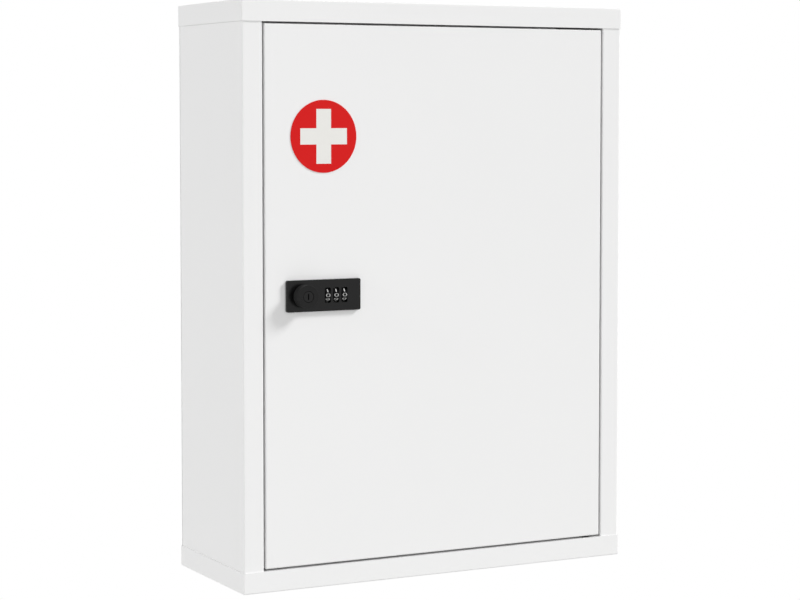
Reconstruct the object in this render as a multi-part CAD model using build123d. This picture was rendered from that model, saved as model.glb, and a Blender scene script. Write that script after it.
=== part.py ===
"""Wall-hung steel medicine cabinet with an inset door and a three-dial combination cam lock.

All sizes are in millimetres. +Z is up, +X is to the right as seen from the front, and the front faces -Y.
The origin is the centre of the back face, on the wall plane y = 0.
The door is modelled shut and unlocked: the lock's cam hangs down, clear of the strike.
"""

from build123d import *
import math
import os

# ---------------------------------------------------------------- carcass
cabinet_width = 300.0
cabinet_height = 400.0
cabinet_depth = 112.0
sheet = 0.7                     # steel sheet of the carcass and the door
bend_inside = 0.2               # inside radius of a folded edge
edge_break = 0.3                # rounding of a cut edge after painting
post_width = 15.4               # visible width of the posts beside the door
rail_width = 14.6               # visible height of the rails above and below the door
rear_flange = 8.0               # flanges that the back panel is welded to
stop_lip = 8.0                  # lip behind the door that it shuts against
wall_hole_radius = 3.5
wall_hole_spacing_x = 220.0
wall_hole_spacing_z = 320.0

# ---------------------------------------------------------------- door
door_gap = 1.3                  # gap between the door and the posts and rails
door_thickness = 15.0
door_flange = 10.0              # flange turned inwards behind the door's edges
bumper_gap = 2.0                # space between the shut door and the stop lip
bumper_clearance = 0.3
bumper_radius = 3.0
bumper_end_gap = 37.0           # from the rails' edges to the side bumpers
stiffener_x = 22.0              # middle of the hat channel inside the door
stiffener_web = 36.0
stiffener_foot = 12.0
stiffener_depth = 9.0
stiffener_end_gap = 22.0        # from the channel's ends to the door's top and bottom

# ---------------------------------------------------------------- hinge
hinge_inset = 10.0              # from the door's right edge to the hinge axis
hinge_setback = 5.0             # from the door's front face to the hinge axis
pin_radius = 2.0
pin_running_clearance = 0.05
pin_fit_clearance = 0.02
pin_head_radius = 3.5
pin_head_height = 1.4
pin_overlap = 0.8               # how far a pin passes its bush
bush_wall = 1.0
bush_length = 4.0
bush_flange_radius = 3.9
bush_side_clearance = 0.2       # left in the gap between a bush's flange and the rail
bracket_thickness = 1.5
bracket_half_width = 9.0
jamb_hole_clearance = 0.3
lip_end_clearance = 4.0         # between the rails' stop lips and the swinging door's edge

# ---------------------------------------------------------------- shelves
shelf_sheet = 0.8
shelf_flange = 12.0
shelf_slot_count = 3            # slots from the cabinet's middle up and down to the shelves
shelf_depth = 80.0
shelf_back_gap = 6.0
shelf_side_gap = 0.6            # between a shelf's end and its clips
shelf_seat_clearance = 0.1
upright_width = 14.0
upright_depth = 5.0
upright_sheet = 0.8
upright_front_y = -73.0         # centre lines of the slotted uprights
upright_rear_y = -19.0
upright_end_gap = 12.0          # from an upright's ends to the caps
slot_pitch = 20.0
slot_width = 9.0
slot_height = 2.4
clip_thickness = 1.2
clip_width = 8.0
clip_tongue = 9.0
clip_leg = 8.0
clip_hook = 2.2
clip_hook_clearance = 0.2

# ---------------------------------------------------------------- sign on the door
badge_radius = 24.7
badge_thickness = 0.4
badge_side_inset = 43.8         # from the door's left edge to the disc's middle
badge_top_inset = 75.7          # from the door's top edge to the disc's middle
cross_width = 35.0
cross_height = 37.1
cross_arm = 11.0

# ---------------------------------------------------------------- lock
lock_side_inset = 15.2          # from the door's left edge to the lock's plate
lock_z = 0.5                    # height of the lock's middle
plate_width = 55.4
plate_height = 21.6
plate_thickness = 2.6
plate_corner_radius = 1.2
plate_edge_radius = 0.4
knob_offset = -15.2             # from the plate's middle to the knob's axis
boss_radius = 9.0
boss_length = 13.3              # behind the plate
boss_hole_clearance = 0.3
lock_washer_radius = 11.4
lock_washer_thickness = 1.0
nut_across_flats = 22.0
nut_thickness = 4.0
thread_clearance = 0.03

dial_offset = 9.0               # from the plate's middle to the middle dial
dial_pitch = 6.3
dial_radius = 5.5               # over the ridges between the digits' flats
dial_width = 4.1
dial_proud = 0.7                # how far the dials stand out of the plate
dial_digits = 10
dial_side_clearance = 0.2
dial_rim_clearance = 0.4
dial_edge_chamfer = 0.25
window_half_height = 5.2
window_corner_radius = 1.0
window_lip = 0.8                # thickness of the plate round the windows
axle_radius = 1.0
dial_box_wall = 1.6
dial_box_roof = 3.0             # above and below the dials, where the cover's screws go
dial_box_rib_gap = 0.6          # between the ribs' ends and the rear cover, for the spring
dial_box_rear_gap = 1.0         # between the dials and the rear cover
cutout_clearance = 0.3
cover_thickness = 1.2
cover_screw_radius = 0.8
cover_screw_head_radius = 1.4
cover_screw_head_height = 0.9
cover_screw_length = 4.0
spring_sheet = 0.3
spring_height = 7.0
spring_bump = 0.35
spring_slot = 0.8

knob_radius = 7.9
knob_height = 7.2
knob_gap = 0.3                  # between the knob and the plate
knob_edge_radius = 0.35
plug_radius = 3.9
plug_depth = 5.0
plug_clearance = 0.05
plug_recess = 0.15              # how far the key plug lies below the knob's face
keyway_width = 0.8
keyway_height = 4.0
keyway_depth = 3.5
spindle_radius = 4.0
spindle_clearance = 0.05
spindle_neck_radius = 2.8
spindle_neck_length = 2.0
socket_clearance = 0.02
clip_ring_outer = 6.0
clip_ring_thickness = 0.8
clip_ring_gap = 0.2
clip_groove_radius = 3.4

cam_thickness = 1.8
cam_length = 27.0               # from the knob's axis to the cam's tip
cam_half_width = 7.0
cam_tip_radius = 2.0
cam_square = 5.6
cam_square_clearance = 0.04
cam_running_gap = 0.5           # between the locked cam and the strike
strike_thickness = 1.2
strike_half_height = 24.0
strike_edge_gap = 0.6
cam_washer_radius = 4.8
cam_washer_thickness = 0.8
cam_screw_radius = 2.0
cam_screw_length = 10.0
cam_screw_tip_gap = 1.0         # left under the screw's tip in the spindle
cam_screw_head_radius = 3.7
cam_screw_head_height = 2.4
screw_slot_width = 0.9
screw_slot_depth = 1.0

# ---------------------------------------------------------------- places worked out from the sizes
bend_outside = bend_inside + sheet
half_width = cabinet_width / 2
top_z = cabinet_height / 2
front_y = -cabinet_depth
side_out_x = half_width - sheet
side_in_x = side_out_x - sheet
panel_front_y = front_y + sheet
post_edge_x = half_width - post_width
rail_edge_z = top_z - rail_width
plate_under_z = top_z - sheet

door_half_width = post_edge_x - door_gap
door_half_height = rail_edge_z - door_gap
door_front_y = panel_front_y
door_skin_y = door_front_y + sheet
door_back_y = door_front_y + door_thickness
stop_front_y = door_back_y + bumper_gap
stop_back_y = stop_front_y + sheet

hinge_x = door_half_width - hinge_inset
hinge_y = door_front_y + hinge_setback
swing_radius = math.hypot(hinge_inset, door_thickness - hinge_setback)
lip_end_x = hinge_x - swing_radius - lip_end_clearance
bush_bore_radius = pin_radius + pin_running_clearance
bush_radius = bush_bore_radius + bush_wall

badge_x = -door_half_width + badge_side_inset
badge_z = door_half_height - badge_top_inset
lock_x = -door_half_width + lock_side_inset + plate_width / 2
knob_x = lock_x + knob_offset
dials_x = lock_x + dial_offset
plate_front_y = door_front_y - plate_thickness
dial_flat = dial_radius * math.cos(math.pi / dial_digits)
axle_y = plate_front_y - dial_proud + dial_flat
pocket_half_height = dial_radius + dial_rim_clearance
pocket_half_width = dial_width / 2 + dial_side_clearance
box_half_width = dial_pitch + pocket_half_width + dial_box_wall
box_half_height = pocket_half_height + dial_box_roof
cover_screw_offset = pocket_half_height + dial_box_roof / 2
cover_front_y = axle_y + dial_radius + dial_box_rear_gap
boss_end_y = door_front_y + boss_length
knob_base_y = plate_front_y - knob_gap
knob_face_y = knob_base_y - knob_height
strike_back_y = stop_back_y + strike_thickness
cam_front_y = strike_back_y + cam_running_gap
cam_back_y = cam_front_y + cam_thickness
cam_washer_back_y = cam_back_y + cam_washer_thickness

upright_face_x = side_in_x - upright_depth
clip_face_x = upright_face_x - clip_thickness
shelf_half_length = clip_face_x - shelf_side_gap
shelf_rear_y = -sheet - shelf_back_gap
shelf_front_y = shelf_rear_y - shelf_depth
upright_half_length = rail_edge_z - upright_end_gap


# ---------------------------------------------------------------- helpers
def block(x0, x1, y0, y1, z0, z1):
    """Box between the given limits on each axis."""
    size = Box(abs(x1 - x0), abs(y1 - y0), abs(z1 - z0))
    return Pos((x0 + x1) / 2, (y0 + y1) / 2, (z0 + z1) / 2) * size


def rod_z(radius, x, y, z0, z1):
    """Cylinder along Z between two heights."""
    return Pos(x, y, (z0 + z1) / 2) * Cylinder(radius, abs(z1 - z0))


def rod_y(radius, x, z, y0, y1):
    """Cylinder along Y between two depths."""
    return Pos(x, (y0 + y1) / 2, z) * Rot(90, 0, 0) * Cylinder(radius, abs(y1 - y0))


def rod_x(radius, y, z, x0, x1):
    """Cylinder along X between two places."""
    return Pos((x0 + x1) / 2, y, z) * Rot(0, 90, 0) * Cylinder(radius, abs(x1 - x0))


def folded_profile(points, thickness, inside_radius):
    """Section of a sheet folded square: one surface follows the points and the metal lies on their left."""
    outside_radius = inside_radius + thickness
    steps = [
        ((b[0] - a[0]) / math.dist(a, b), (b[1] - a[1]) / math.dist(a, b))
        for a, b in zip(points, points[1:])
    ]
    normals = [(-dy, dx) for dx, dy in steps]
    far_side = [(points[0][0] + thickness * normals[0][0], points[0][1] + thickness * normals[0][1])]
    near_radii, far_radii = [], []
    for corner in range(1, len(points) - 1):
        before, after = normals[corner - 1], normals[corner]
        far_side.append((
            points[corner][0] + thickness * (before[0] + after[0]),
            points[corner][1] + thickness * (before[1] + after[1]),
        ))
        turn = steps[corner - 1][0] * steps[corner][1] - steps[corner - 1][1] * steps[corner][0]
        near_radii.append(outside_radius if turn > 0 else inside_radius)
        far_radii.append(inside_radius if turn > 0 else outside_radius)
    far_side.append((points[-1][0] + thickness * normals[-1][0], points[-1][1] + thickness * normals[-1][1]))
    near = FilletPolyline(*points, radius=near_radii)
    far = FilletPolyline(*far_side, radius=far_radii)
    ends = [Line(points[0], far_side[0]), Line(points[-1], far_side[-1])]
    return make_face([*near.edges(), *far.edges(), *ends])


def upwards(face, z0, z1):
    """Solid of a section in the XY plane, from one height to another."""
    return Pos(0, 0, z0) * extrude(face, amount=z1 - z0, dir=(0, 0, 1))


def edges_at(edges, axis, place):
    """Those of the edges whose middle lies at the given place on an axis."""
    return edges.filter_by_position(axis, place - 0.001, place + 0.001)


def left_right(shape):
    """The same shape on the other side of the cabinet."""
    return mirror(shape, about=Plane.YZ)


def upside_down(shape):
    """The same shape at the other end of the cabinet."""
    return mirror(shape, about=Plane.XY)


def group(*solids):
    """Separate solids that share one node."""
    return Compound(children=list(solids))


# ---------------------------------------------------------------- carcass
def cap():
    """Top cap: a tray over the side panels, with a rail above the door and a lip that the door shuts on."""
    tray = block(-half_width, half_width, front_y, 0, rail_edge_z, top_z)
    roof_edges = edges_at(tray.edges(), Axis.Z, top_z)
    roof_edges = [edge for edge in roof_edges if edge.center().Y < -edge_break]
    front_corners = edges_at(tray.edges().filter_by(Axis.Z), Axis.Y, front_y)
    tray = fillet([*roof_edges, *front_corners], bend_outside)
    tray -= block(-side_out_x, side_out_x, panel_front_y, sheet, rail_edge_z - sheet, plate_under_z)
    rail = block(-post_edge_x, post_edge_x, panel_front_y, stop_back_y, rail_edge_z, rail_edge_z + sheet)
    lip = block(
        -post_edge_x + stop_lip, lip_end_x,
        stop_front_y, stop_back_y,
        rail_edge_z - stop_lip, rail_edge_z + sheet,
    )
    rear_edge_x = side_out_x - rear_flange - bend_outside
    rear = block(-rear_edge_x, rear_edge_x, -2 * sheet, -sheet, plate_under_z - rear_flange, plate_under_z)
    hole_radius = pin_radius + jamb_hole_clearance
    hole = rod_z(hole_radius, hinge_x, hinge_y, rail_edge_z - sheet, rail_edge_z + 2 * sheet)
    return tray + rail + lip + rear - hole


def side_panel(with_stop):
    """Left side panel, folded into the front post and the jamb, with or without a stop lip."""
    outline = [
        (-side_out_x + rear_flange, -sheet),
        (-side_out_x, -sheet),
        (-side_out_x, panel_front_y),
        (-post_edge_x, panel_front_y),
    ]
    behind_caps = folded_profile(outline, sheet, bend_inside)
    jamb = [*outline, (-post_edge_x, stop_front_y)]
    if with_stop:
        jamb.append((-post_edge_x + stop_lip, stop_front_y))
    beside_door = folded_profile(jamb, sheet, bend_inside)
    lower = upwards(behind_caps, -plate_under_z, -rail_edge_z)
    upper = upwards(behind_caps, rail_edge_z, plate_under_z)
    return upwards(beside_door, -rail_edge_z, rail_edge_z) + lower + upper


def left_side_panel():
    """Lock side of the carcass."""
    return side_panel(with_stop=True)


def right_side_panel():
    """Hinge side of the carcass, with no lip where the door's edge swings inwards."""
    return left_right(side_panel(with_stop=False))


def back_panel():
    """Flat back with the four wall-screw holes."""
    panel = block(-side_out_x, side_out_x, -sheet, 0, -plate_under_z, plate_under_z)
    for x in (-wall_hole_spacing_x / 2, wall_hole_spacing_x / 2):
        for z in (-wall_hole_spacing_z / 2, wall_hole_spacing_z / 2):
            panel -= rod_y(wall_hole_radius, x, z, -2 * sheet, sheet)
    return panel


def strike_plate():
    """Stiffener behind the lock side's stop lip, which the cam turns in behind."""
    outer_x = -post_edge_x + strike_edge_gap
    inner_x = -post_edge_x + stop_lip
    bottom, top = lock_z - strike_half_height, lock_z + strike_half_height
    plate = block(outer_x, inner_x, stop_back_y, strike_back_y, bottom, top)
    inner_edge = edges_at(plate.edges().filter_by(Axis.Z), Axis.X, inner_x)
    return fillet(inner_edge, edge_break)


def door_bumpers():
    """Rubber buttons on the stop lips."""
    height_z = rail_edge_z - stop_lip / 2
    side_x = -post_edge_x + stop_lip / 2
    side_z = rail_edge_z - bumper_end_gap
    places = [(side_x, side_z), (side_x, -side_z), (0.0, height_z), (0.0, -height_z)]
    buttons = []
    for x, z in places:
        button = rod_y(bumper_radius, x, z, door_back_y + bumper_clearance, stop_front_y)
        nose = edges_at(button.edges(), Axis.Y, door_back_y + bumper_clearance)
        buttons.append(fillet(nose, edge_break))
    return group(*buttons)


# ---------------------------------------------------------------- hinge
def hinge_bracket():
    """Stiffening plate in the upper rail that holds the hinge pin."""
    inner_z = rail_edge_z + sheet
    plate = block(
        hinge_x - bracket_half_width, post_edge_x - sheet,
        panel_front_y, hinge_y + bracket_half_width,
        inner_z, inner_z + bracket_thickness,
    )
    hole_radius = pin_radius + pin_fit_clearance
    return plate - rod_z(hole_radius, hinge_x, hinge_y, rail_edge_z, inner_z + 2 * bracket_thickness)


def hinge_pin():
    """Headed pin from the rail's bracket down into the door's bush."""
    head_z = rail_edge_z + sheet + bracket_thickness
    shank_end_z = door_half_height - bush_length - pin_overlap
    pin = rod_z(pin_radius, hinge_x, hinge_y, shank_end_z, head_z)
    tip = edges_at(pin.edges(), Axis.Z, shank_end_z)
    head = rod_z(pin_head_radius, hinge_x, hinge_y, head_z, head_z + pin_head_height)
    return chamfer(tip, edge_break) + head


def hinge_bush():
    """Flanged nylon bush in the door's upper edge."""
    flange_top_z = rail_edge_z - bush_side_clearance
    sleeve = rod_z(bush_radius, hinge_x, hinge_y, door_half_height - bush_length, door_half_height)
    flange = rod_z(bush_flange_radius, hinge_x, hinge_y, door_half_height, flange_top_z)
    bore = rod_z(bush_bore_radius, hinge_x, hinge_y, door_half_height - 2 * bush_length, rail_edge_z)
    return sleeve + flange - bore


# ---------------------------------------------------------------- door
def door_panel():
    """Folded steel pan with flanges behind its edges, cut for the lock and the hinge bushes."""
    pan = block(
        -door_half_width, door_half_width, door_front_y, door_back_y, -door_half_height, door_half_height,
    )
    front_edges = edges_at(pan.edges(), Axis.Y, door_front_y)
    corner_edges = pan.edges().filter_by(Axis.Y)
    pan = fillet([*front_edges, *corner_edges], bend_outside)
    inner_x, inner_z = door_half_width - sheet, door_half_height - sheet
    pan -= block(-inner_x, inner_x, door_skin_y, door_back_y - sheet, -inner_z, inner_z)
    open_x, open_z = door_half_width - door_flange, door_half_height - door_flange
    pan -= block(-open_x, open_x, door_back_y - 2 * sheet, door_back_y + sheet, -open_z, open_z)
    for end in (-1, 1):
        seat_z = end * (door_half_height - sheet / 2)
        pan -= rod_z(bush_radius + pin_fit_clearance, hinge_x, hinge_y, seat_z - sheet, seat_z + sheet)
    outside_y, inside_y = door_front_y - sheet, door_skin_y + sheet
    pan -= rod_y(boss_radius + boss_hole_clearance, knob_x, lock_z, outside_y, inside_y)
    cut_x, cut_z = box_half_width + cutout_clearance, box_half_height + cutout_clearance
    return pan - block(
        dials_x - cut_x, dials_x + cut_x, outside_y, inside_y, lock_z - cut_z, lock_z + cut_z,
    )


def door_stiffener():
    """Hat channel welded inside the door's skin."""
    left_x, right_x = stiffener_x - stiffener_web / 2, stiffener_x + stiffener_web / 2
    outline = [
        (left_x - stiffener_foot, door_skin_y),
        (left_x, door_skin_y),
        (left_x, door_skin_y + stiffener_depth),
        (right_x, door_skin_y + stiffener_depth),
        (right_x, door_skin_y),
        (right_x + stiffener_foot, door_skin_y),
    ]
    end_z = door_half_height - stiffener_end_gap
    return upwards(folded_profile(outline, sheet, bend_inside), -end_z, end_z)


def cross_prism(depth):
    """Upright cross, standing out of the door's face by the given depth."""
    upright = block(-cross_arm / 2, cross_arm / 2, -depth, 0, -cross_height / 2, cross_height / 2)
    level = block(-cross_width / 2, cross_width / 2, -depth, 0, -cross_arm / 2, cross_arm / 2)
    return Pos(badge_x, door_front_y, badge_z) * (upright + level)


def badge_disc():
    """Red disc of the first-aid sign, open where the cross lies."""
    disc = rod_y(badge_radius, badge_x, badge_z, door_front_y - badge_thickness, door_front_y)
    return disc - cross_prism(2 * badge_thickness)


def badge_cross():
    """White cross of the first-aid sign."""
    return cross_prism(badge_thickness)


# ---------------------------------------------------------------- lock
def dial_places():
    """X of the three dials, from left to right."""
    return [dials_x - dial_pitch, dials_x, dials_x + dial_pitch]


def lock_housing():
    """Lock plate with the knob's threaded boss and the dials' box behind it."""
    left, right = lock_x - plate_width / 2, lock_x + plate_width / 2
    bottom, top = lock_z - plate_height / 2, lock_z + plate_height / 2
    plate = block(left, right, plate_front_y, door_front_y, bottom, top)
    plate = fillet(plate.edges().filter_by(Axis.Y), plate_corner_radius)
    plate = fillet(edges_at(plate.edges(), Axis.Y, plate_front_y), plate_edge_radius)
    body = plate + rod_y(boss_radius, knob_x, lock_z, door_front_y - plate_thickness / 2, boss_end_y)
    bore_radius = spindle_radius + spindle_clearance
    body -= rod_y(bore_radius, knob_x, lock_z, plate_front_y - plate_thickness, boss_end_y + sheet)
    body += block(
        dials_x - box_half_width, dials_x + box_half_width,
        door_front_y, cover_front_y,
        lock_z - box_half_height, lock_z + box_half_height,
    )
    rib_end_y = cover_front_y - dial_box_rib_gap
    for x in dial_places():
        body -= block(
            x - pocket_half_width, x + pocket_half_width,
            plate_front_y + window_lip, cover_front_y,
            lock_z - pocket_half_height, lock_z + pocket_half_height,
        )
        body -= window(x)
    outer = dial_pitch + pocket_half_width
    body -= block(
        dials_x - outer, dials_x + outer,
        rib_end_y, cover_front_y,
        lock_z - pocket_half_height, lock_z + pocket_half_height,
    )
    axle_hole = axle_radius + pin_fit_clearance
    outside = box_half_width + sheet
    body -= rod_x(axle_hole, axle_y, lock_z, dials_x - outside, dials_x + outside)
    screw_hole = cover_screw_radius + pin_fit_clearance
    for z in cover_screw_heights():
        body -= rod_y(screw_hole, dials_x, z, cover_front_y - cover_screw_length, cover_front_y)
    return body


def window(x):
    """Opening in the plate's front over one dial's pocket."""
    opening = block(
        x - pocket_half_width, x + pocket_half_width,
        plate_front_y - plate_thickness, plate_front_y + 2 * window_lip,
        lock_z - window_half_height, lock_z + window_half_height,
    )
    return fillet(opening.edges().filter_by(Axis.Y), window_corner_radius)


def cover_screw_heights():
    """Z of the rear cover's two screws."""
    return [lock_z - cover_screw_offset, lock_z + cover_screw_offset]


def flat_turn():
    """Turn, in degrees, that brings one of a dial's flats to face the front."""
    step = 360 / dial_digits
    return 90 % step - step / 2


def dial(x):
    """Number dial: a drum with one flat for each digit, turning on the axle."""
    half = dial_width / 2
    flats = RegularPolygon(dial_radius, dial_digits, rotation=flat_turn())
    drum = Rot(0, 90, 0) * extrude(flats, amount=half, both=True)
    rims = edges_at(drum.edges(), Axis.X, -half) + edges_at(drum.edges(), Axis.X, half)
    drum = chamfer(rims, dial_edge_chamfer)
    bore = rod_x(axle_radius + pin_running_clearance, 0, 0, -dial_width, dial_width)
    return Pos(x, axle_y, lock_z) * (drum - bore)


def dial_axle():
    """Pin that the three dials turn on."""
    return rod_x(axle_radius, axle_y, lock_z, dials_x - box_half_width, dials_x + box_half_width)


def lock_back_cover():
    """Flat cover that closes the dials' box."""
    cover = block(
        dials_x - box_half_width, dials_x + box_half_width,
        cover_front_y, cover_front_y + cover_thickness,
        lock_z - box_half_height, lock_z + box_half_height,
    )
    cover = fillet(cover.edges().filter_by(Axis.Y), edge_break)
    hole_radius = cover_screw_radius + 2 * pin_fit_clearance
    for z in cover_screw_heights():
        cover -= rod_y(hole_radius, dials_x, z, cover_front_y - sheet, cover_front_y + 2 * cover_thickness)
    return cover


def slotted_head(x, z, radius, y0, height):
    """Round screw head facing +Y, with a driver slot."""
    head = rod_y(radius, x, z, y0, y0 + height)
    rim = edges_at(head.edges(), Axis.Y, y0 + height)
    head = fillet(rim, edge_break)
    slot_depth = min(screw_slot_depth, height / 2)
    return head - block(
        x - radius, x + radius, y0 + height - slot_depth, y0 + 2 * height,
        z - screw_slot_width / 2, z + screw_slot_width / 2,
    )


def cover_screws():
    """Two small screws that hold the rear cover."""
    back_y = cover_front_y + cover_thickness
    screws = []
    for z in cover_screw_heights():
        shank = rod_y(cover_screw_radius, dials_x, z, back_y - cover_screw_length, back_y)
        head = slotted_head(dials_x, z, cover_screw_head_radius, back_y, cover_screw_head_height)
        screws.append(shank + head)
    return group(*screws)


def detent_spring():
    """Leaf spring behind the dials, with a finger for each that clicks over its ridges."""
    half = dial_pitch + pocket_half_width - dial_side_clearance
    leaf_y = cover_front_y - spring_sheet
    spring = block(
        dials_x - half, dials_x + half, leaf_y, cover_front_y,
        lock_z - spring_height / 2, lock_z + spring_height / 2,
    )
    for x in dial_places():
        bump = rod_x(spring_bump, leaf_y, lock_z, x - dial_width / 2, x + dial_width / 2)
        behind_leaf = block(
            x - dial_width, x + dial_width,
            cover_front_y, cover_front_y + spring_bump,
            lock_z - spring_bump, lock_z + spring_bump,
        )
        spring += bump - behind_leaf
    for x in (dials_x - dial_pitch / 2, dials_x + dial_pitch / 2):
        spring -= block(
            x - spring_slot / 2, x + spring_slot / 2, leaf_y - sheet, cover_front_y + sheet,
            lock_z - spring_height / 4, lock_z + spring_height,
        )
    return spring


def lock_washer():
    """Washer between the door's skin and the lock nut."""
    ring = rod_y(lock_washer_radius, knob_x, lock_z, door_skin_y, door_skin_y + lock_washer_thickness)
    return ring - rod_y(boss_radius + thread_clearance, knob_x, lock_z, door_front_y, door_back_y)


def lock_nut():
    """Hexagon nut that clamps the lock to the door."""
    front = door_skin_y + lock_washer_thickness
    flats = RegularPolygon(nut_across_flats / 2, 6, major_radius=False, rotation=30)
    nut = Pos(knob_x, front + nut_thickness, lock_z) * Rot(90, 0, 0) * extrude(flats, amount=nut_thickness)
    return nut - rod_y(boss_radius + thread_clearance, knob_x, lock_z, door_front_y, door_back_y)


def knob():
    """Round turning knob with a bore for the key plug in its face."""
    body = rod_y(knob_radius, knob_x, lock_z, knob_face_y, knob_base_y)
    body = fillet(edges_at(body.edges(), Axis.Y, knob_face_y), knob_edge_radius)
    bore_radius = plug_radius + plug_clearance
    body -= rod_y(bore_radius, knob_x, lock_z, knob_face_y - plug_depth, knob_face_y + plug_depth)
    body -= rod_y(
        spindle_neck_radius + socket_clearance, knob_x, lock_z,
        knob_base_y - spindle_neck_length, knob_base_y + sheet,
    )
    return body


def key_plug():
    """Plug for the master key, turning in the knob."""
    face = knob_face_y + plug_recess
    plug = rod_y(plug_radius, knob_x, lock_z, face, knob_face_y + plug_depth - plug_clearance)
    plug = chamfer(edges_at(plug.edges(), Axis.Y, face), edge_break)
    return plug - block(
        knob_x - keyway_width / 2, knob_x + keyway_width / 2,
        face - sheet, face + keyway_depth,
        lock_z - keyway_height / 2, lock_z + keyway_height / 2,
    )


def spindle():
    """Shaft from the knob through the boss to the cam, with a square end and a tapped hole."""
    neck = rod_y(spindle_neck_radius, knob_x, lock_z, knob_base_y - spindle_neck_length, knob_base_y)
    shaft = rod_y(spindle_radius, knob_x, lock_z, knob_base_y, cam_front_y)
    half = cam_square / 2
    square = block(knob_x - half, knob_x + half, cam_front_y, cam_back_y, lock_z - half, lock_z + half)
    groove_y = boss_end_y + clip_ring_gap
    groove = rod_y(clip_ring_outer, knob_x, lock_z, groove_y, groove_y + clip_ring_thickness)
    groove -= rod_y(clip_groove_radius, knob_x, lock_z, groove_y, groove_y + clip_ring_thickness)
    tapped = rod_y(
        cam_screw_radius + thread_clearance, knob_x, lock_z,
        cam_washer_back_y - cam_screw_length - cam_screw_tip_gap, cam_back_y + sheet,
    )
    return neck + shaft + square - groove - tapped


def spindle_clip():
    """Retaining ring in the spindle's groove behind the boss."""
    y0 = boss_end_y + clip_ring_gap
    y1 = y0 + clip_ring_thickness
    ring = rod_y(clip_ring_outer, knob_x, lock_z, y0, y1)
    ring -= rod_y(clip_groove_radius + pin_fit_clearance, knob_x, lock_z, y0, y1)
    mouth = block(
        knob_x - clip_groove_radius / 2, knob_x + clip_groove_radius / 2, y0, y1,
        lock_z - 2 * clip_ring_outer, lock_z,
    )
    return ring - mouth


def cam():
    """Locking cam, hanging straight down in the unlocked position."""
    hub = rod_y(cam_half_width, knob_x, lock_z, cam_front_y, cam_back_y)
    arm = block(
        knob_x - cam_half_width, knob_x + cam_half_width,
        cam_front_y, cam_back_y,
        lock_z - cam_length, lock_z,
    )
    tip = edges_at(arm.edges().filter_by(Axis.Y), Axis.Z, lock_z - cam_length)
    arm = fillet(tip, cam_tip_radius)
    half = cam_square / 2 + cam_square_clearance
    return hub + arm - block(
        knob_x - half, knob_x + half, cam_front_y - sheet, cam_back_y + sheet, lock_z - half, lock_z + half,
    )


def cam_washer():
    """Washer under the cam screw's head."""
    ring = rod_y(cam_washer_radius, knob_x, lock_z, cam_back_y, cam_washer_back_y)
    hole_radius = cam_screw_radius + 2 * thread_clearance
    return ring - rod_y(hole_radius, knob_x, lock_z, cam_front_y, cam_washer_back_y + sheet)


def cam_screw():
    """Screw that holds the cam on the spindle."""
    tip_y = cam_washer_back_y - cam_screw_length
    shank = rod_y(cam_screw_radius, knob_x, lock_z, tip_y, cam_washer_back_y)
    head = slotted_head(knob_x, lock_z, cam_screw_head_radius, cam_washer_back_y, cam_screw_head_height)
    return shank + head


# ---------------------------------------------------------------- shelves
def slot_heights():
    """Heights of the slots in an upright, counted up and down from the cabinet's middle."""
    count = int((upright_half_length - slot_height) // slot_pitch)
    return [slot_pitch * step for step in range(-count, count + 1)]


def clip_seat_z(slot):
    """Top of the clips that stand on the lower edges of the slots with the given number."""
    return slot * slot_pitch - slot_height / 2 + clip_thickness


def shelf_upright(centre_y):
    """Slotted upright on the left side panel: a channel with its open side to the panel."""
    y0, y1 = centre_y - upright_width / 2, centre_y + upright_width / 2
    outline = [(-side_in_x, y0), (-upright_face_x, y0), (-upright_face_x, y1), (-side_in_x, y1)]
    section = folded_profile(outline, upright_sheet, bend_inside)
    channel = upwards(section, -upright_half_length, upright_half_length)
    for z in slot_heights():
        channel -= block(
            -upright_face_x - upright_depth / 2, -upright_face_x + sheet,
            centre_y - slot_width / 2, centre_y + slot_width / 2,
            z - slot_height / 2, z + slot_height / 2,
        )
    return channel


def shelf_clip(centre_y, seat_z):
    """Steel clip hooked into a slot of the left upright, with its tongue pointing into the cabinet."""
    y0, y1 = centre_y - clip_width / 2, centre_y + clip_width / 2
    hook_x = -upright_face_x - upright_sheet - clip_hook_clearance
    tongue_end_x = -clip_face_x + clip_tongue
    tongue = block(hook_x - clip_thickness, tongue_end_x, y0, y1, seat_z - clip_thickness, seat_z)
    leg = block(-upright_face_x, -clip_face_x, y0, y1, seat_z - clip_leg, seat_z)
    hook = block(hook_x - clip_thickness, hook_x, y0, y1, seat_z - clip_hook, seat_z)
    return tongue + leg + hook


def shelf_clips(slot):
    """The four clips under one shelf."""
    seat_z = clip_seat_z(slot)
    left = [shelf_clip(y, seat_z) for y in (upright_front_y, upright_rear_y)]
    return group(*left, *[left_right(clip) for clip in left])


def shelf(slot):
    """Steel shelf with its front and rear edges folded down, resting on the clips in the given slots."""
    under_z = clip_seat_z(slot) + shelf_seat_clearance
    top = under_z + shelf_sheet
    outline = [
        (shelf_rear_y, top - shelf_flange),
        (shelf_rear_y, top),
        (shelf_front_y, top),
        (shelf_front_y, top - shelf_flange),
    ]
    section = folded_profile(outline, shelf_sheet, bend_inside)
    on_end = Plane(origin=(-shelf_half_length, 0, 0), x_dir=(0, 1, 0), z_dir=(1, 0, 0))
    return extrude(on_end * section, amount=2 * shelf_half_length, dir=(1, 0, 0))


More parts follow.
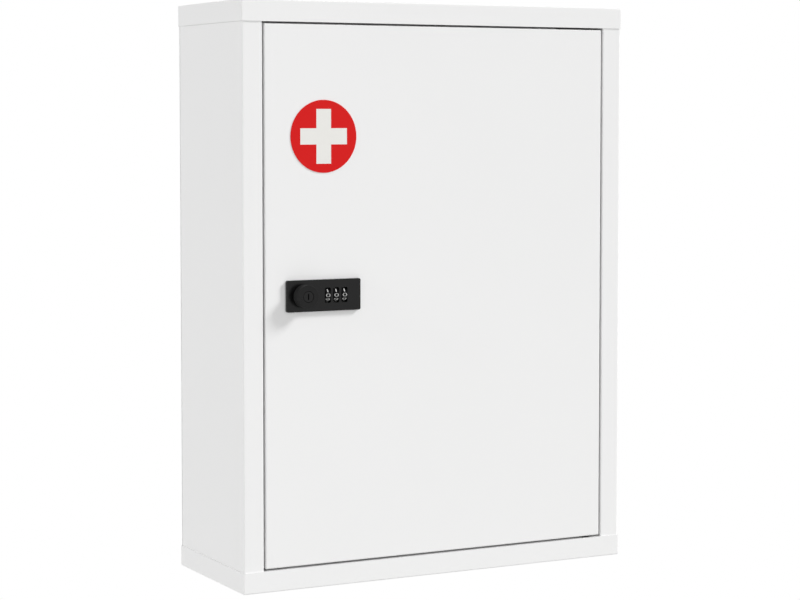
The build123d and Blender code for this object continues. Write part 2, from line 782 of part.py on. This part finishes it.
# ---------------------------------------------------------------- all the pieces
def build_pieces():
    """Every piece by its name."""
    pieces = {
        "top_cap": cap(),
        "bottom_cap": upside_down(cap()),
        "left_side_panel": left_side_panel(),
        "right_side_panel": right_side_panel(),
        "back_panel": back_panel(),
        "strike_plate": strike_plate(),
        "door_bumpers": door_bumpers(),
        "hinge_bracket_upper": hinge_bracket(),
        "hinge_bracket_lower": upside_down(hinge_bracket()),
        "hinge_pin_upper": hinge_pin(),
        "hinge_pin_lower": upside_down(hinge_pin()),
        "hinge_bush_upper": hinge_bush(),
        "hinge_bush_lower": upside_down(hinge_bush()),
        "door_panel": door_panel(),
        "door_stiffener": door_stiffener(),
        "badge_disc": badge_disc(),
        "badge_cross": badge_cross(),
        "lock_housing": lock_housing(),
        "lock_washer": lock_washer(),
        "lock_nut": lock_nut(),
        "lock_back_cover": lock_back_cover(),
        "cover_screws": cover_screws(),
        "detent_spring": detent_spring(),
        "dial_axle": dial_axle(),
        "knob": knob(),
        "key_plug": key_plug(),
        "spindle": spindle(),
        "spindle_clip": spindle_clip(),
        "cam": cam(),
        "cam_washer": cam_washer(),
        "cam_screw": cam_screw(),
    }
    for name, x in zip(("left", "middle", "right"), dial_places()):
        pieces["dial_" + name] = dial(x)
    for name, y in (("front", upright_front_y), ("rear", upright_rear_y)):
        upright = shelf_upright(y)
        pieces["shelf_upright_left_" + name] = upright
        pieces["shelf_upright_right_" + name] = left_right(upright)
    for name, slot in (("upper", shelf_slot_count), ("lower", -shelf_slot_count)):
        pieces["shelf_" + name] = shelf(slot)
        pieces["shelf_clips_" + name] = shelf_clips(slot)
    return pieces


os.makedirs("parts", exist_ok=True)
for piece_name, piece in build_pieces().items():
    export_step(piece, "parts/" + piece_name + ".step")
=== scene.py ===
"""Looks of a wall-hung steel medicine cabinet: its finishes, painted digits, thread and weld marks, in a studio.

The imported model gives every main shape. This file gives each piece its finish, adds the digits on the dials, the
thread on the lock's boss and the weld marks inside the door, and lights the cabinet. Sizes in the classes of the
pieces are in millimetres, those in the studio's are in metres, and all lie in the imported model's own frame.
"""

import logging
import math
from collections.abc import Iterator
from dataclasses import dataclass
from enum import Enum

import bmesh
import bpy
from mathutils import Matrix, Vector


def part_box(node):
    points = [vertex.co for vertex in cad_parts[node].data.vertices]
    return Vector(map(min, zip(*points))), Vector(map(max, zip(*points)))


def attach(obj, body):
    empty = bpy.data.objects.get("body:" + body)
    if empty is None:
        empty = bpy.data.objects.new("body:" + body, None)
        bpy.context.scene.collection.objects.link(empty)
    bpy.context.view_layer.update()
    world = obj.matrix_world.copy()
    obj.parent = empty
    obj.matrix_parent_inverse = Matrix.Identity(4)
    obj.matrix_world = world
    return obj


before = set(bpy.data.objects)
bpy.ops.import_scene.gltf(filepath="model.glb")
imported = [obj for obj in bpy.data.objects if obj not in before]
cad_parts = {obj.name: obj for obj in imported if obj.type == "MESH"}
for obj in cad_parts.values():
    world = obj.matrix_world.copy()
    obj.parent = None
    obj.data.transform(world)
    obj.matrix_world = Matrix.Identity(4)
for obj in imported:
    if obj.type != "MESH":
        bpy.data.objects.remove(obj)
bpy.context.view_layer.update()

MM = 0.001
IMAGE_WIDTH = 800
WHITE = (1.0, 1.0, 1.0, 1.0)
# Sockets of a Mix node for colours: its share, both colours, and the mixed colour that it gives.
MIX_SHARE, MIX_FIRST, MIX_SECOND, MIX_RESULT = 0, 6, 7, 2
LOG = logging.getLogger("medicine_cabinet")


class Body(str, Enum):
    """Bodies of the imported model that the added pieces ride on."""

    DOOR = "door"
    DIAL_LEFT = "dial_left"
    DIAL_MIDDLE = "dial_middle"
    DIAL_RIGHT = "dial_right"


# ---------------------------------------------------------------- node helpers
def linear(colour: str) -> tuple[float, float, float, float]:
    """Turns an sRGB colour into the linear values that shaders use, by the standard's own curve.

    Args:
        colour: Six hex digits after a hash sign.

    Returns:
        Red, green, blue and an alpha of 1.
    """
    parts = [int(colour[i:i + 2], 16) / 255 for i in (1, 3, 5)]
    red, green, blue = (c / 12.92 if c <= 0.04045 else ((c + 0.055) / 1.055) ** 2.4 for c in parts)
    return red, green, blue, 1.0


def add_node(
    tree: bpy.types.NodeTree,
    kind: str,
    inputs: dict[str | int, object] | None = None,
    **settings: object,
) -> bpy.types.Node:
    """Adds a node, and sets or links its inputs.

    Args:
        tree: The node tree of a material or of the world.
        kind: The node's type name in Blender.
        inputs: For an input's name or number, its value or the output that feeds it.
        **settings: Properties of the node, such as its operation.

    Returns:
        The new node.
    """
    node = tree.nodes.new(kind)
    for name, value in settings.items():
        setattr(node, name, value)
    for name, value in (inputs or {}).items():
        if isinstance(value, bpy.types.NodeSocket):
            tree.links.new(value, node.inputs[name])
        else:
            node.inputs[name].default_value = value
    return node


# ---------------------------------------------------------------- finishes
@dataclass(frozen=True)
class Finish:
    """What all finishes share: a name, a record slot and a colour that drifts a little over the surface."""

    name: str
    slot: str
    colour: str
    second_colour: str
    roughness: float
    roughness_drift: float
    drift_mm: float

    def material(self) -> bpy.types.Material:
        """The finish's material, made once and then shared.

        Returns:
            The Blender material with its nodes.
        """
        known = bpy.data.materials.get(self.name)
        if known is not None:
            return known
        made = bpy.data.materials.new(self.name)
        made.use_nodes = True
        made.diffuse_color = linear(self.colour)
        tree = made.node_tree
        tree.nodes.clear()
        place = add_node(tree, "ShaderNodeTexCoord").outputs["Object"]
        shader = self.shader(tree, place)
        add_node(tree, "ShaderNodeOutputMaterial", {"Surface": shader.outputs["BSDF"]})
        return made

    def shader(self, tree: bpy.types.NodeTree, place: bpy.types.NodeSocket) -> bpy.types.Node:
        """Makes the surface shader. Each kind of finish adds its own relief to this one.

        Args:
            tree: The material's node tree.
            place: Object coordinates, in metres.

        Returns:
            The Principled shader node.
        """
        drift = add_node(tree, "ShaderNodeTexNoise", {
            "Vector": place, "Scale": 1 / (self.drift_mm * MM), "Detail": 2.0, "Roughness": 0.5,
        })
        tone = add_node(tree, "ShaderNodeMix", {
            MIX_SHARE: drift.outputs["Fac"],
            MIX_FIRST: linear(self.colour),
            MIX_SECOND: linear(self.second_colour),
        }, data_type="RGBA")
        rough = add_node(tree, "ShaderNodeMapRange", {
            "Value": drift.outputs["Fac"],
            "To Min": self.roughness - self.roughness_drift,
            "To Max": self.roughness + self.roughness_drift,
        })
        return add_node(tree, "ShaderNodeBsdfPrincipled", {
            "Base Color": tone.outputs[MIX_RESULT],
            "Roughness": rough.outputs["Result"],
        })


def relief(
    tree: bpy.types.NodeTree, height: bpy.types.NodeSocket, depth_mm: float,
) -> bpy.types.NodeSocket:
    """Turns a height from 0 to 1 into a bumped normal.

    Args:
        tree: The material's node tree.
        height: The height over the surface.
        depth_mm: How far a height of 1 stands out of a height of 0.

    Returns:
        The normal, for the shader.
    """
    return add_node(tree, "ShaderNodeBump", {
        "Height": height, "Strength": 1.0, "Distance": depth_mm * MM,
    }).outputs["Normal"]


@dataclass(frozen=True)
class PowderCoat(Finish):
    """Polyester powder coat, sprayed on folded steel and baked: semi-gloss with a faint orange peel."""

    peel_mm: float = 2.2
    peel_depth_mm: float = 0.004

    def shader(self, tree: bpy.types.NodeTree, place: bpy.types.NodeSocket) -> bpy.types.Node:
        """Adds the orange peel to the coat.

        Args:
            tree: The material's node tree.
            place: Object coordinates, in metres.

        Returns:
            The Principled shader node.
        """
        coat = super().shader(tree, place)
        peel = add_node(tree, "ShaderNodeTexNoise", {
            "Vector": place, "Scale": 1 / (self.peel_mm * MM), "Detail": 1.0, "Roughness": 0.4,
        })
        tree.links.new(relief(tree, peel.outputs["Fac"], self.peel_depth_mm), coat.inputs["Normal"])
        return coat


@dataclass(frozen=True)
class WornMetal(Finish):
    """Bare or plated steel: a metal with the faint lines of rolling or turning along its width."""

    line_mm: float = 0.12
    line_length_mm: float = 6.0
    line_depth_mm: float = 0.0015

    def shader(self, tree: bpy.types.NodeTree, place: bpy.types.NodeSocket) -> bpy.types.Node:
        """Makes the shader a metal and adds its lines.

        Args:
            tree: The material's node tree.
            place: Object coordinates, in metres.

        Returns:
            The Principled shader node.
        """
        metal = super().shader(tree, place)
        metal.inputs["Metallic"].default_value = 1.0
        along, across = 1 / (self.line_length_mm * MM), 1 / (self.line_mm * MM)
        drawn = add_node(tree, "ShaderNodeMapping", {"Vector": place, "Scale": (along, across, across)})
        lines = add_node(tree, "ShaderNodeTexNoise", {
            "Vector": drawn.outputs["Vector"], "Scale": 1.0, "Detail": 1.0,
        })
        tree.links.new(relief(tree, lines.outputs["Fac"], self.line_depth_mm), metal.inputs["Normal"])
        return metal


@dataclass(frozen=True)
class Grained(Finish):
    """A non-metal with a fine grain, such as a matt coat, a moulded plastic, a film or rubber."""

    grain_mm: float = 0.3
    grain_depth_mm: float = 0.004
    specular: float = 0.5

    def shader(self, tree: bpy.types.NodeTree, place: bpy.types.NodeSocket) -> bpy.types.Node:
        """Sets how strongly the surface reflects, and adds its grain.

        Args:
            tree: The material's node tree.
            place: Object coordinates, in metres.

        Returns:
            The Principled shader node.
        """
        skin = super().shader(tree, place)
        skin.inputs["Specular IOR Level"].default_value = self.specular
        grain = add_node(tree, "ShaderNodeTexNoise", {
            "Vector": place, "Scale": 1 / (self.grain_mm * MM), "Detail": 2.0, "Roughness": 0.6,
        })
        tree.links.new(relief(tree, grain.outputs["Fac"], self.grain_depth_mm), skin.inputs["Normal"])
        return skin


# Polyester powder coat, sprayed on folded steel and baked: an even, cool white with a soft sheen. The orange
# peel's humps are 2.2 mm apart, as on a real coat, and break up reflections just enough to be seen.
WHITE_POWDER_COAT = PowderCoat(
    "polyester_powder_coat_white", "white_powder_coat", "#F2F2F2", "#F0F0F0", 0.30, 0.02, 90.0,
)
# Pressed or turned steel with clear zinc plating: pale grey and silky, with fine lines from the rolling mill.
# The real lines are about 0.03 mm apart, and are drawn four times as coarse so that they show.
ZINC_PLATED_STEEL = WornMetal(
    "steel_with_clear_zinc_plating", "zinc_plated_steel", "#C6C8CB", "#B4B7BC", 0.34, 0.06, 4.0,
)
# Rolled spring steel, left bare: darker and sharper in its reflections than the plated pieces.
# Its lines are drawn as coarse as those of the plated steel, for the same reason.
SPRING_STEEL = WornMetal(
    "rolled_spring_steel", "spring_steel", "#8E9094", "#7C7E83", 0.30, 0.05, 3.0,
)
# Nylon, moulded in a finely eroded tool: dark grey, dull and dry, with no clear reflections.
# The grain is about 0.1 mm in reality, and is drawn 0.35 mm wide so that it shows.
BLACK_NYLON = Grained(
    "moulded_nylon_black", "black_nylon", "#252525", "#222222", 0.62, 0.04, 5.0,
    grain_mm=0.35, grain_depth_mm=0.006, specular=0.1,
)
# Moulded rubber: a dusty, quite flat mid grey. Its grain is drawn twice as coarse as it is, so that it shows.
GREY_RUBBER = Grained(
    "moulded_rubber_grey", "grey_rubber", "#6A6B6E", "#626366", 0.78, 0.05, 3.0,
    grain_mm=0.2, grain_depth_mm=0.006, specular=0.3,
)
# Calendered vinyl film, cut to shape: a flat, even signal red with a soft gloss from its rollers.
# The faint waves of such a film are about 0.6 mm apart.
RED_VINYL = Grained(
    "cut_vinyl_film_red", "red_vinyl", "#D50C0B", "#D30B0A", 0.36, 0.02, 12.0,
    grain_mm=0.6, grain_depth_mm=0.001, specular=0.26,
)
# The same film in white: a shade warmer than the powder coat round it.
WHITE_VINYL = Grained(
    "cut_vinyl_film_white", "white_vinyl", "#ECEBE7", "#EAE9E5", 0.36, 0.02, 12.0,
    grain_mm=0.6, grain_depth_mm=0.001,
)
# Zinc die casting with a smooth black coat: nearly black, and lifted to dark grey by the bright room in its
# gloss. The coat's flow marks are drawn 0.5 mm apart, about twice their size, so that they show.
BLACK_COATED_ZINC = Grained(
    "die_cast_zinc_with_black_coat", "black_coated_zinc", "#0B0B0B", "#090909", 0.24, 0.02, 8.0,
    grain_mm=0.5, grain_depth_mm=0.0006, specular=0.28,
)
# Moulded acetal: black and slightly waxy. Its fine grain is drawn 0.2 mm wide so that it shows.
BLACK_ACETAL = Grained(
    "moulded_acetal_black", "black_acetal", "#0E0E0F", "#0B0B0C", 0.42, 0.03, 4.0,
    grain_mm=0.2, grain_depth_mm=0.001, specular=0.06,
)
# White paint, wiped into the digits: matt and a little uneven at a scale of 1.5 mm.
DIGIT_PAINT = Grained(
    "filled_digit_paint_white", "white_vinyl", "#D6D6D4", "#CCCCCA", 0.55, 0.03, 1.5,
    grain_mm=0.15, grain_depth_mm=0.002, specular=0.3,
)

FINISHES = {
    finish.slot: finish
    for finish in (
        WHITE_POWDER_COAT, ZINC_PLATED_STEEL, SPRING_STEEL, BLACK_NYLON, GREY_RUBBER,
        RED_VINYL, WHITE_VINYL, BLACK_COATED_ZINC, BLACK_ACETAL,
    )
}


# ---------------------------------------------------------------- mesh helpers
def dress(piece: bpy.types.Object, finish: Finish) -> None:
    """Gives a piece one finish all over.

    Args:
        piece: A mesh object.
        finish: The finish to give it.
    """
    material = finish.material()
    if piece.data.materials:
        for place in range(len(piece.data.materials)):
            piece.data.materials[place] = material
    else:
        piece.data.materials.append(material)


def keep_piece(shape: bmesh.types.BMesh, name: str, body: Body, finish: Finish) -> bpy.types.Object:
    """Makes a finished bmesh an object that rides on a body.

    Args:
        shape: The mesh, in metres and in place. It is freed.
        name: The piece's name.
        body: The body that carries the piece.
        finish: The piece's finish.

    Returns:
        The new object.
    """
    mesh = bpy.data.meshes.new(name)
    shape.to_mesh(mesh)
    shape.free()
    piece = bpy.data.objects.new(name, mesh)
    bpy.context.scene.collection.objects.link(piece)
    dress(piece, finish)
    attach(piece, body.value)
    return piece


# ---------------------------------------------------------------- sub-assemblies
@dataclass
class PackedPieces:
    """Carcass, door, lock and shelves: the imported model's own shapes in their finishes."""

    def build(self) -> Iterator[bpy.types.Object]:
        """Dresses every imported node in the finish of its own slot.

        Yields:
            Each dressed node.
        """
        for name in sorted(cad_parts):
            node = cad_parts[name]
            slot_name = node.data.materials[0].name.split(".")[0]
            dress(node, FINISHES[slot_name])
            yield node


@dataclass
class NumberDials:
    """White digits painted on the ten flats of each of the three dials.

    The fields whose names start with font_ are in the font's own units, at a size of 1. The digit 1 takes only
    narrow_share of the width of the others.
    """

    dials: tuple[Body, ...] = (Body.DIAL_LEFT, Body.DIAL_MIDDLE, Body.DIAL_RIGHT)
    flats: int = 10
    digit_width: float = 3.2
    digit_height: float = 2.25
    narrow_share: float = 0.22
    paint_thickness: float = 0.03
    font_curve_steps: int = 4
    font_depth: float = 0.5
    font_stroke_trim: float = -0.018
    font_foot_height: float = 0.09
    font_join_distance: float = 1e-5
    join_distance: float = 1e-4

    def digit(self, number: int) -> bpy.types.Mesh:
        """Makes one digit lying flat round the origin, at its size.

        Args:
            number: The digit, from 0 to 9.

        Returns:
            A mesh with the digit's face towards +Z and its top towards +Y.
        """
        text = bpy.data.curves.new("digit", "FONT")
        text.body = str(number)
        text.extrude = self.font_depth
        text.resolution_u = self.font_curve_steps
        text.offset = self.font_stroke_trim
        writing = bpy.data.objects.new("digit", text)
        mesh = bpy.data.meshes.new_from_object(writing)
        bpy.data.objects.remove(writing)
        bpy.data.curves.remove(text)
        self.close_outline(mesh, with_foot=number != 1)
        low = Vector([min(v.co[i] for v in mesh.vertices) for i in range(3)])
        high = Vector([max(v.co[i] for v in mesh.vertices) for i in range(3)])
        size = high - low
        width = self.digit_width * (self.narrow_share if number == 1 else 1.0)
        scale = Matrix.Diagonal((
            width * MM / size.x, self.digit_height * MM / size.y, self.paint_thickness * MM / size.z, 1.0,
        ))
        mesh.transform(scale @ Matrix.Translation(-(low + high) / 2))
        return mesh

    def close_outline(self, mesh: bpy.types.Mesh, with_foot: bool) -> None:
        """Joins a digit's sides to its two faces, and evens out the triangles of the faces.

        Args:
            mesh: The digit, still at the font's own size.
            with_foot: Whether the digit keeps its foot. Only the 1 stands on a bar, which is cut off.
        """
        shape = bmesh.new()
        shape.from_mesh(mesh)
        bmesh.ops.remove_doubles(shape, verts=shape.verts, dist=self.font_join_distance)
        if not with_foot:
            cut = bmesh.ops.bisect_plane(
                shape, geom=[*shape.verts, *shape.edges, *shape.faces],
                plane_co=(0, self.font_foot_height, 0), plane_no=(0, 1, 0), clear_inner=True,
            )
            rim = [part for part in cut["geom_cut"] if isinstance(part, bmesh.types.BMEdge)]
            bmesh.ops.contextual_create(shape, geom=rim)
        bmesh.ops.triangulate(shape, faces=shape.faces)
        # Edges between two triangles of the same face of the digit, and not those round its sides.
        level = [
            edge for edge in shape.edges
            if len({round(vert.co.z, 3) for face in edge.link_faces for vert in face.verts}) == 1
        ]
        bmesh.ops.beautify_fill(shape, faces=shape.faces, edges=level)
        shape.to_mesh(mesh)
        shape.free()

    def ring(self, dial: Body) -> bmesh.types.BMesh:
        """Places the ten digits round one dial, with 0 in front, 1 above it and 9 below.

        Args:
            dial: The dial.

        Returns:
            The digits of that dial in one mesh.
        """
        shape = bmesh.new()
        low, high = (Vector(corner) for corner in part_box(dial.value))
        axle = Matrix.Translation((low + high) / 2)
        out = Matrix.Translation((0, 0, (high.y - low.y) / 2))
        for number in range(self.flats):
            # The digit lies face up: a quarter turn stands it up to the front, and the rest takes it to its flat.
            turn = Matrix.Rotation(math.radians(90 - 360 / self.flats * number), 4, "X")
            mesh = self.digit(number)
            mesh.transform(axle @ turn @ out)
            shape.from_mesh(mesh)
            bpy.data.meshes.remove(mesh)
        bmesh.ops.remove_doubles(shape, verts=shape.verts, dist=self.join_distance * MM)
        bmesh.ops.recalc_face_normals(shape, faces=shape.faces)
        return shape

    def build(self) -> Iterator[bpy.types.Object]:
        """Paints the digits.

        Yields:
            One piece for each dial.
        """
        for dial in self.dials:
            yield keep_piece(self.ring(dial), dial.value.replace("dial", "digits"), dial, DIGIT_PAINT)


@dataclass
class BossThread:
    """Fine thread that winds round the lock's boss, from inside the nut to the boss's end."""

    root_radius: float = 8.9
    crest_radius: float = 9.25
    pitch: float = 1.0
    root_width: float = 0.8
    crest_width: float = 0.2
    steps_per_turn: int = 48

    def build(self) -> Iterator[bpy.types.Object]:
        """Winds the thread's section round the boss.

        Yields:
            The thread.
        """
        nut_low, nut_high = (Vector(corner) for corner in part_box("lock_nut"))
        axis = (nut_low + nut_high) / 2
        pitch = self.pitch * MM
        start = nut_high.y - pitch
        # The section itself takes up a pitch of the boss's length, so there is one turn less.
        turns = (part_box("lock_housing")[1][1] - start) / pitch - 1
        slope = (self.root_width - self.crest_width) / 2
        section = (
            (self.root_radius, 0.0),
            (self.crest_radius, slope),
            (self.crest_radius, slope + self.crest_width),
            (self.root_radius, self.root_width),
        )
        shape = bmesh.new()
        shape.faces.new([
            shape.verts.new((axis.x + radius * MM, start + along * MM, axis.z)) for radius, along in section
        ])
        bmesh.ops.spin(
            shape, geom=[*shape.verts, *shape.edges, *shape.faces], cent=axis, axis=(0, 1, 0),
            dvec=(0, pitch / self.steps_per_turn, 0), angle=math.tau * turns,
            steps=round(self.steps_per_turn * turns), use_duplicate=False,
        )
        bmesh.ops.recalc_face_normals(shape, faces=shape.faces)
        yield keep_piece(shape, "boss_thread", Body.DOOR, BLACK_COATED_ZINC)


@dataclass
class SpotWelds:
    """Shallow weld marks, painted over, in a row along each foot of the door's stiffener."""

    sheet: float = 0.7
    row_inset: float = 5.5
    end_inset: float = 14.0
    marks_in_row: int = 7
    sides: int = 24
    foot_radius: float = 2.6
    rim_radius: float = 2.2
    rim_height: float = 0.14
    rim_width: float = 0.5
    hollow: float = 0.1
    sunk: float = 0.02

    def mark(self, shape: bmesh.types.BMesh, place: Vector) -> None:
        """Adds one mark: a low round rim with a hollow middle.

        Args:
            shape: The mesh that gets the mark.
            place: The mark's middle, on the sheet.
        """
        height = self.rim_height + self.sunk
        up = Matrix.Translation((0, 0, (height / 2 - self.sunk) * MM))
        turn = Matrix.Rotation(math.radians(-90), 4, "X")
        disc = bmesh.ops.create_cone(
            shape, cap_ends=True, segments=self.sides, depth=height * MM,
            radius1=self.foot_radius * MM, radius2=self.rim_radius * MM,
            matrix=Matrix.Translation(place) @ turn @ up,
        )
        faces = {face for vert in disc["verts"] for face in vert.link_faces}
        top = max(faces, key=lambda face: face.calc_center_median().y)
        bmesh.ops.inset_individual(shape, faces=[top], thickness=self.rim_width * MM, depth=-self.hollow * MM)

    def build(self) -> Iterator[bpy.types.Object]:
        """Sets the two rows of marks.

        Yields:
            All the marks as one piece.
        """
        low, high = (Vector(corner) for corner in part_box("door_stiffener"))
        first, last = low.z + self.end_inset * MM, high.z - self.end_inset * MM
        step = (last - first) / (self.marks_in_row - 1)
        shape = bmesh.new()
        for x in (low.x + self.row_inset * MM, high.x - self.row_inset * MM):
            for number in range(self.marks_in_row):
                self.mark(shape, Vector((x, low.y + self.sheet * MM, first + number * step)))
        yield keep_piece(shape, "stiffener_weld_marks", Body.DOOR, WHITE_POWDER_COAT)


# ---------------------------------------------------------------- studio
@dataclass(frozen=True)
class Lamp:
    """Soft, distant lamp, which glossy surfaces don't mirror: they mirror the white surroundings.

    Its strength is the light on a surface square to it, in watts per square metre, and its angle is how wide it
    looks from the cabinet.
    """

    name: str
    strength: float
    angle_deg: float
    towards: tuple[float, float, float]
    distance: float = 3.0

    def build(self) -> None:
        """Sets the lamp up, turned towards the cabinet."""
        light = bpy.data.lights.new(self.name, "SUN")
        light.energy = self.strength
        light.angle = math.radians(self.angle_deg)
        lamp = bpy.data.objects.new(self.name, light)
        direction = Vector(self.towards).normalized()
        lamp.location = direction * self.distance
        lamp.rotation_euler = direction.to_track_quat("Z", "Y").to_euler()
        lamp.visible_glossy = False
        bpy.context.scene.collection.objects.link(lamp)


@dataclass
class Studio:
    """Pale floor far below the wall-hung cabinet, soft lamps, white surroundings and the camera."""

    floor_z: float = -1.5
    floor_sides: int = 96
    floor_radius: float = 2.6
    floor_fade: tuple[float, float] = (1.0, 2.55)
    floor_colour: str = "#D8D8D6"
    ambient: float = 0.338
    lamps: tuple[Lamp, ...] = (
        Lamp("key_lamp", 2.28, 13.5, (1.85, -1.0, 1.56)),
        Lamp("side_lamp", 1.3, 12.0, (-1.0, 0.0, 0.35)),
        Lamp("front_lamp", 0.86, 46.0, (0.05, -1.0, 0.15)),
        Lamp("rear_lamp", 1.4, 40.0, (0.1, 1.0, 0.05)),
    )
    camera_at: tuple[float, float, float] = (-0.7323, -1.4539, 0.1231)
    camera_yaw_deg: float = 27.581
    camera_pitch_deg: float = 3.274
    lens_mm: float = 98.63
    sensor_width_mm: float = 36.0
    centre_above_middle_px: float = 60.0

    def floor(self) -> None:
        """Makes the round floor, which fades to the white of the surroundings."""
        shape = bmesh.new()
        bmesh.ops.create_circle(shape, cap_ends=True, segments=self.floor_sides, radius=self.floor_radius)
        bmesh.ops.translate(shape, verts=shape.verts, vec=(0, 0, self.floor_z))
        mesh = bpy.data.meshes.new("studio_floor")
        shape.to_mesh(mesh)
        shape.free()
        floor = bpy.data.objects.new("studio_floor", mesh)
        bpy.context.scene.collection.objects.link(floor)
        material = bpy.data.materials.new("matt_white_floor")
        material.use_nodes = True
        tree = material.node_tree
        tree.nodes.clear()
        place = add_node(tree, "ShaderNodeTexCoord").outputs["Object"]
        flat = add_node(tree, "ShaderNodeVectorMath", {0: place, 1: (1, 1, 0)}, operation="MULTIPLY")
        distance = add_node(tree, "ShaderNodeVectorMath", {0: flat.outputs[0]}, operation="LENGTH")
        fade_start, fade_end = self.floor_fade
        fade = add_node(tree, "ShaderNodeMapRange", {
            "Value": distance.outputs["Value"], "From Min": fade_start, "From Max": fade_end,
        }, interpolation_type="SMOOTHSTEP")
        seen = add_node(tree, "ShaderNodeLightPath")
        blend = add_node(tree, "ShaderNodeMath", {
            0: fade.outputs["Result"], 1: seen.outputs["Is Camera Ray"],
        }, operation="MULTIPLY")
        paint = add_node(tree, "ShaderNodeBsdfPrincipled", {
            "Base Color": linear(self.floor_colour), "Roughness": 0.9, "Specular IOR Level": 0.1,
        })
        white = add_node(tree, "ShaderNodeEmission", {"Color": WHITE, "Strength": 1.0})
        surface = add_node(tree, "ShaderNodeMixShader", {
            0: blend.outputs["Value"], 1: paint.outputs["BSDF"], 2: white.outputs["Emission"],
        })
        add_node(tree, "ShaderNodeOutputMaterial", {"Surface": surface.outputs["Shader"]})
        mesh.materials.append(material)

    def surroundings(self) -> None:
        """Makes the world white to the eye and in reflections, and a plain level of light elsewhere."""
        world = bpy.data.worlds.new("studio_surroundings")
        world.use_nodes = True
        tree = world.node_tree
        tree.nodes.clear()
        seen = add_node(tree, "ShaderNodeLightPath")
        mirrored = add_node(tree, "ShaderNodeMath", {
            0: seen.outputs["Is Camera Ray"], 1: seen.outputs["Is Glossy Ray"],
        }, operation="MAXIMUM")
        clear = add_node(tree, "ShaderNodeMath", {
            0: mirrored.outputs["Value"], 1: seen.outputs["Is Transmission Ray"],
        }, operation="MAXIMUM")
        light = add_node(tree, "ShaderNodeBackground", {"Color": WHITE, "Strength": self.ambient})
        white = add_node(tree, "ShaderNodeBackground", {"Color": WHITE, "Strength": 1.0})
        both = add_node(tree, "ShaderNodeMixShader", {
            0: clear.outputs["Value"], 1: light.outputs["Background"], 2: white.outputs["Background"],
        })
        add_node(tree, "ShaderNodeOutputWorld", {"Surface": both.outputs["Shader"]})
        bpy.context.scene.world = world

    def camera(self) -> None:
        """Places the camera to the front left of the cabinet, a little above its middle."""
        data = bpy.data.cameras.new("camera")
        data.lens = self.lens_mm
        data.sensor_width = self.sensor_width_mm
        data.shift_y = -self.centre_above_middle_px / IMAGE_WIDTH
        camera = bpy.data.objects.new("camera", data)
        yaw, pitch = math.radians(self.camera_yaw_deg), math.radians(self.camera_pitch_deg)
        ahead = Vector((
            math.sin(yaw) * math.cos(pitch), math.cos(yaw) * math.cos(pitch), -math.sin(pitch),
        ))
        camera.location = self.camera_at
        camera.rotation_euler = ahead.to_track_quat("-Z", "Y").to_euler()
        bpy.context.scene.collection.objects.link(camera)
        bpy.context.scene.camera = camera

    def build(self) -> None:
        """Sets up the whole studio."""
        bpy.context.scene.view_settings.view_transform = "Standard"
        self.floor()
        self.surroundings()
        for lamp in self.lamps:
            lamp.build()
        self.camera()


def main() -> None:
    """Builds every sub-assembly in order, logging each piece's name, then the studio."""
    logging.basicConfig(level=logging.INFO, format="%(message)s")
    for part in (PackedPieces(), SpotWelds(), BossThread(), NumberDials()):
        for piece in part.build():
            LOG.info("%s: %s", type(part).__name__, piece.name)
    Studio().build()


if __name__ == "__main__":
    main()
